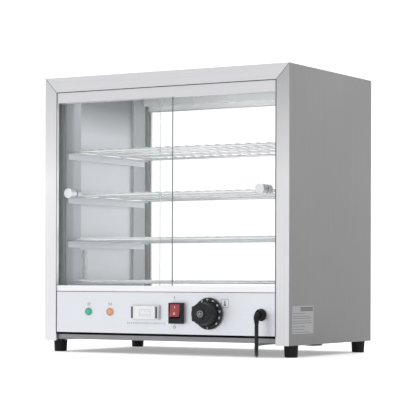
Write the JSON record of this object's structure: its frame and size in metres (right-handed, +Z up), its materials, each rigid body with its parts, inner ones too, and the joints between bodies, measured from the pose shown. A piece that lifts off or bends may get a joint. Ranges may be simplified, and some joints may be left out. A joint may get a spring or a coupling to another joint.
{
  "type": "hot food display case",
  "caption": "Countertop heated food display case with sliding glass front doors, a glass back, lift-out wire racks and a front control panel.",
  "frame": {"origin": "centre of the case's box on the surface that its feet stand on, without the mains lead", "axes": "+X to the right as the customer faces the doors, +Y from the doors to the glass back, +Z up"},
  "size_m": [0.54, 0.6931, 0.534],
  "materials": {
    "shell_steel": "fine brushed stainless steel",
    "inner_steel": "mill finish stainless sheet",
    "channel": "satin",
    "chrome_wire": "bright chrome plated wire",
    "polished_metal": "polished",
    "glass": "clear toughened glass with ground edges",
    "element_sheath": "heat darkened sheath",
    "copper": "dull copper",
    "body_plastic": "moulded",
    "black_plastic": "satin moulded",
    "white_scale": "printed card",
    "clear_plastic": "clear moulded window",
    "red_lens": "translucent, glossy",
    "green_lens": "translucent, glossy",
    "amber_lens": "translucent, glossy",
    "black_rubber": "matt",
    "lead_pvc": "satin sheath",
    "plate": "blank matt plate"
  },
  "bodies": {
    "case": {"side_panel_left": "shell_steel", "side_panel_right": "shell_steel", "top_panel": "shell_steel", "front_top_rail": "shell_steel", "front_stile_left": "shell_steel", "front_stile_right": "shell_steel", "rear_top_rail": "shell_steel", "rear_stile_left": "shell_steel", "rear_stile_right": "shell_steel", "rear_lower_panel": "shell_steel", "front_fascia": "shell_steel", "front_sill": "shell_steel", "front_top_track": "inner_steel", "front_bottom_track": "inner_steel", "rear_top_channel": "channel", "rear_bottom_channel": "inner_steel", "rear_glass": "glass", "control_panel": "shell_steel", "base_pan": "inner_steel", "control_partition": "inner_steel", "floor_plate": "inner_steel", "side_liner_left": "inner_steel", "side_liner_right": "inner_steel", "ceiling_liner": "inner_steel", "uprights_left": "inner_steel", "uprights_right": "inner_steel", "runners_left": "inner_steel", "runners_right": "inner_steel", "heating_element": "element_sheath", "element_brackets": "inner_steel", "thermostat_body": "body_plastic", "sensor_bulb": "copper", "sensor_clips": "inner_steel", "thermometer_case": "black_plastic", "thermometer_scale": "white_scale", "thermometer_lens": "clear_plastic", "switch_housing": "black_plastic", "lamp_green": "green_lens", "lamp_amber": "amber_lens", "terminal_block": "body_plastic", "cable_gland": "black_plastic", "strain_relief": "black_rubber", "feet": "black_rubber", "foot_screws": "inner_steel", "rating_plate": "plate", "cord_lead": "lead_pvc", "cord_coil": "lead_pvc", "mains_plug": "lead_pvc"},
    "left_door": {"door_left": "glass", "knob_left": "polished_metal", "cap_left": "polished_metal"},
    "right_door": {"door_right": "glass", "knob_right": "polished_metal", "cap_right": "polished_metal"},
    "rack_a": {"rack_1": "chrome_wire"},
    "rack_b": {"rack_2": "chrome_wire"},
    "rack_c": {"rack_3": "chrome_wire"},
    "rack_d": {"rack_4": "chrome_wire"},
    "dial": {"thermostat_dial": "black_plastic"},
    "rocker": {"switch_rocker": "red_lens"}
  },
  "joints": [
    {"name": "left_door_slide", "type": "slide", "parent": "case", "child": "left_door", "axis": [1, 0, 0], "range_m": [0, 0.18]},
    {"name": "right_door_slide", "type": "slide", "parent": "case", "child": "right_door", "axis": [1, 0, 0], "range_m": [-0.18, 0]},
    {"name": "thermostat_turn", "type": "hinge", "parent": "case", "child": "dial", "pos_m": [0.103, -0.156, 0.0785], "axis": [0, -1, 0], "range_deg": [-270, 0]},
    {"name": "switch_rock", "type": "hinge", "parent": "case", "child": "rocker", "pos_m": [0.0345, -0.158, 0.0824], "axis": [1, 0, 0], "range_deg": [0, 18]},
    {"name": "rack_a_lift", "type": "slide", "parent": "case", "child": "rack_a", "axis": [0, 0, 1], "range_m": [0, 0.02]},
    {"name": "rack_b_lift", "type": "slide", "parent": "case", "child": "rack_b", "axis": [0, 0, 1], "range_m": [0, 0.02]},
    {"name": "rack_c_lift", "type": "slide", "parent": "case", "child": "rack_c", "axis": [0, 0, 1], "range_m": [0, 0.02]},
    {"name": "rack_d_lift", "type": "slide", "parent": "case", "child": "rack_d", "axis": [0, 0, 1], "range_m": [0, 0.02]}
  ]
}
